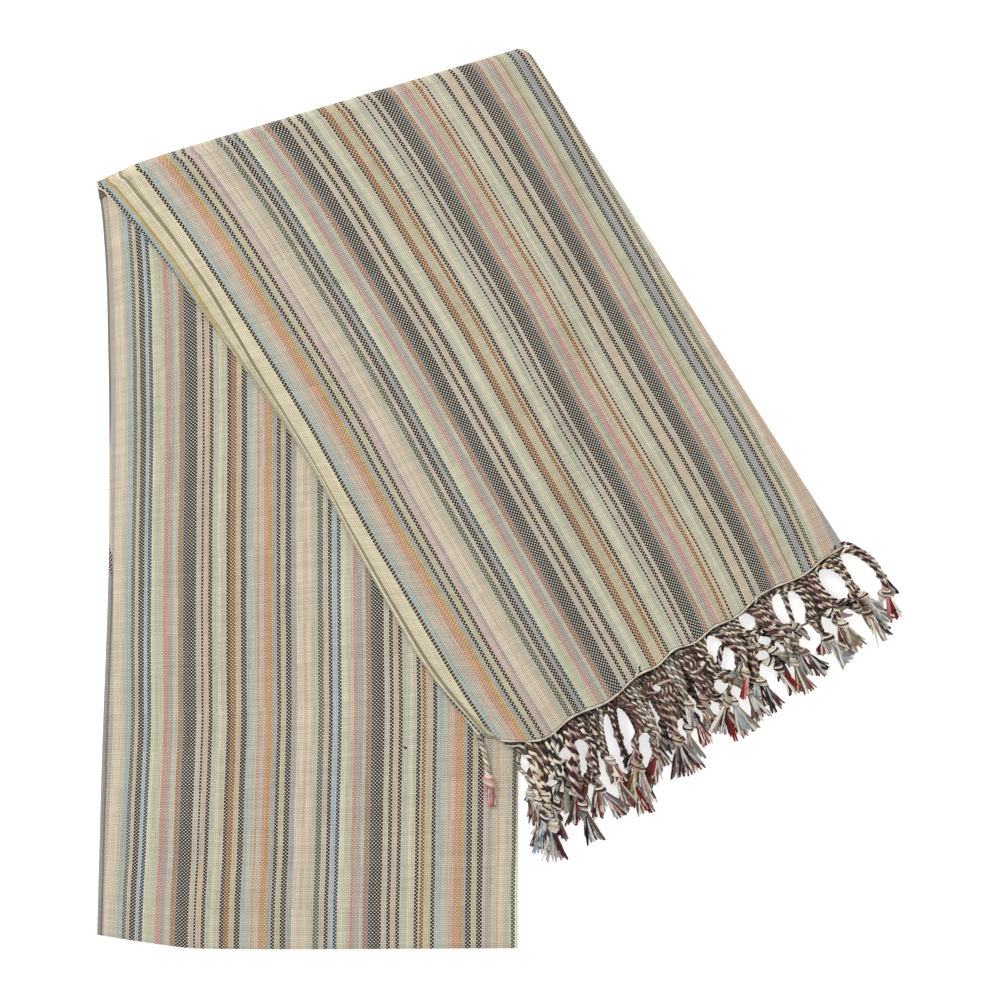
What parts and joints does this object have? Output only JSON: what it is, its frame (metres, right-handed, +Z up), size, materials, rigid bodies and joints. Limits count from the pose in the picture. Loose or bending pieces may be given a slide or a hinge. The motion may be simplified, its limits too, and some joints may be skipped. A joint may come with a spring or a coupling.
{
  "type": "fouta towel",
  "caption": "Folded striped cotton towel with a knotted fringe, one leg turned over the other, for bath, beach or table.",
  "frame": {"origin": "on the floor under the middle of the whole folded towel", "axes": "+Z up from the floor, +Y towards the slanted fold along the lower leg, +X towards the fringed end"},
  "size_m": [0.48, 0.5358, 0.0112],
  "materials": {
    "striped_cloth": "plain-woven striped cotton, matt",
    "fringe_yarn": "twisted cotton yarn in mixed colours"
  },
  "bodies": {
    "root": {"inner_layers": "striped_cloth", "under_leg_sheet": "striped_cloth", "over_leg_sheet": "striped_cloth", "over_leg_lowest_layer": "striped_cloth", "fringe_row_1": "fringe_yarn", "fringe_row_2": "fringe_yarn", "fringe_row_3": "fringe_yarn", "fringe_row_4": "fringe_yarn", "lone_tassel": "fringe_yarn"}
  },
  "joints": []
}
